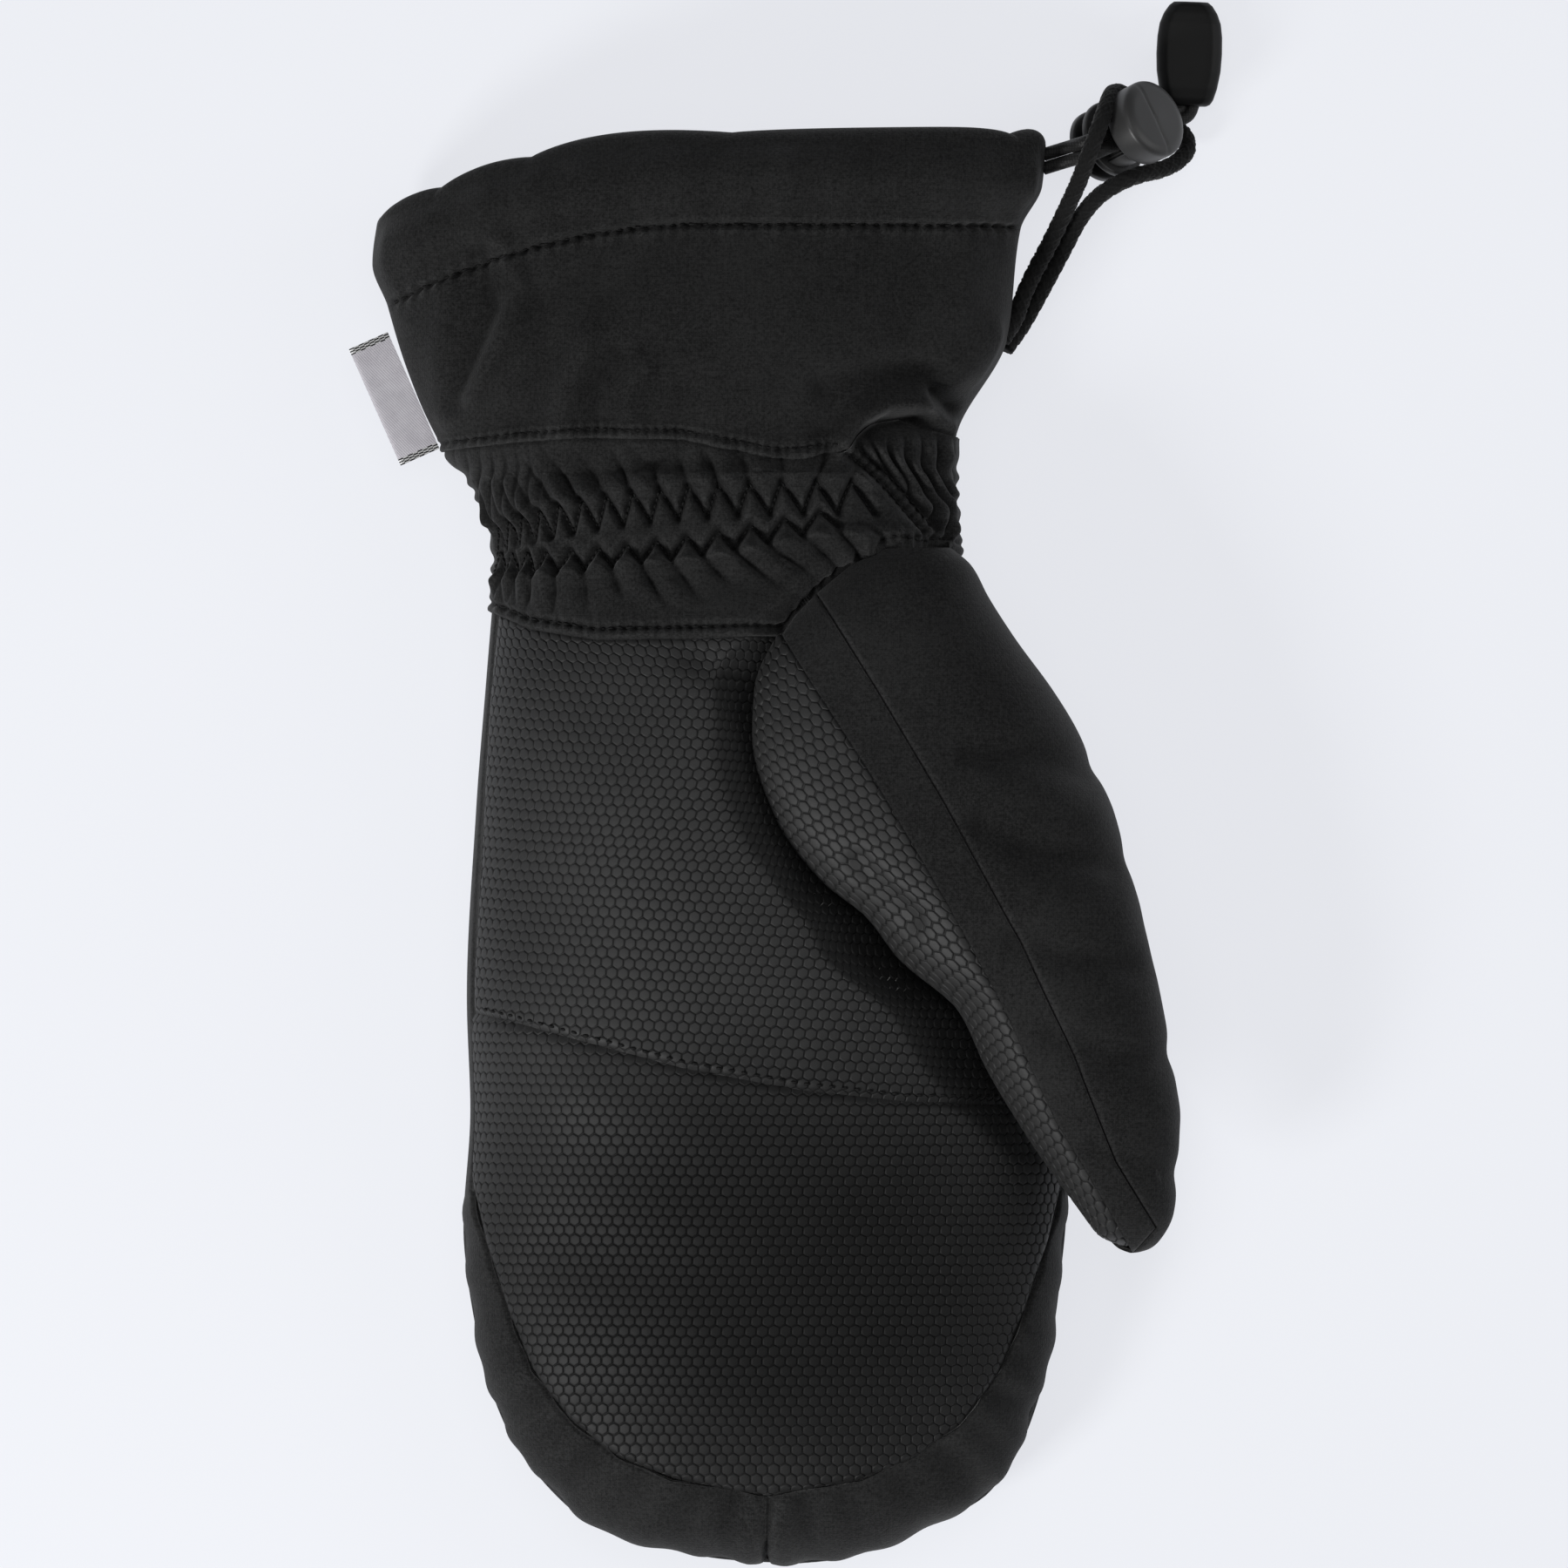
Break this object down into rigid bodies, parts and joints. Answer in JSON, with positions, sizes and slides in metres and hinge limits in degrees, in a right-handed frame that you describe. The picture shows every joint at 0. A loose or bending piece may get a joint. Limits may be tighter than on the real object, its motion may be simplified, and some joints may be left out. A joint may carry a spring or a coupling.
{
  "type": "snow mitten",
  "caption": "Padded left-hand snow mitten lying on its back, with a textured palm and thumb, gathered wrist, long cuff, drawcord with a sprung cord lock, tether loop and side label.",
  "frame": {"origin": "middle of the mitten's footprint without its free cords, on the surface that its back lies on", "axes": "+Y from the fingertip to the mouth of the cuff, +X towards the thumb, +Z out of the palm"},
  "size_m": [0.2021, 0.3613, 0.06],
  "materials": {
    "shell_fabric": "matte tight woven nylon",
    "palm_leather": "satin synthetic leather embossed with small hexagons",
    "elastic_tape": "ribbed elastic tape",
    "padding": "soft white fibre filling",
    "lining": "brushed knit",
    "label_satin": "woven satin",
    "elastic_cord": "smooth tight braid",
    "braid": "coarse round braid",
    "lock_shell": "satin moulded",
    "lock_plunger": "satin moulded",
    "spring_steel": "drawn wire",
    "cord_end_rubber": "matte moulded"
  },
  "bodies": {
    "mitten": {"hand_back": "shell_fabric", "palm_upper": "palm_leather", "palm_fingers": "palm_leather", "tip_band_left": "shell_fabric", "tip_band_right": "shell_fabric", "wrist_palm": "shell_fabric", "wrist_back": "shell_fabric", "gauntlet_palm": "shell_fabric", "gauntlet_back": "shell_fabric", "hem_tunnel": "shell_fabric", "elastic_tape_upper": "elastic_tape", "elastic_tape_lower": "elastic_tape", "padding_palm": "padding", "padding_back": "padding", "padding_cuff": "padding", "lining_palm": "lining", "lining_back": "lining", "lining_cuff": "lining", "drawcord": "elastic_cord", "tether": "braid", "toggle_housing": "lock_shell", "toggle_spring": "spring_steel"},
    "thumb": {"thumb_leather": "palm_leather", "thumb_strip": "shell_fabric", "thumb_back": "shell_fabric", "padding_thumb": "padding", "lining_thumb": "lining"},
    "plunger": {"toggle_plunger": "lock_plunger"},
    "pull_end": {"cord_end": "cord_end_rubber"},
    "label": {"side_label": "label_satin"}
  },
  "joints": [
    {"name": "thumb_swing", "type": "hinge", "parent": "mitten", "child": "thumb", "pos_m": [0.043, 0.066, 0.036], "axis": [0, 0, 1], "range_deg": [0, 16], "stiffness_Nm_per_rad": 0.15},
    {"name": "plunger_press", "type": "slide", "parent": "mitten", "child": "plunger", "axis": [0.6628, 0.3091, 0.682], "range_m": [0, 0.003], "stiffness_N_per_m": 250, "deforming": ["toggle_spring"]},
    {"name": "cord_pull", "type": "slide", "parent": "mitten", "child": "pull_end", "axis": [0.0349, 0.9994, 0], "range_m": [0, 0.03]},
    {"name": "label_fold", "type": "hinge", "parent": "mitten", "child": "label", "pos_m": [-0.0863, 0.1194, 0.014], "axis": [0.4067, -0.9135, 0], "range_deg": [-80, 60], "stiffness_Nm_per_rad": 0.001}
  ]
}
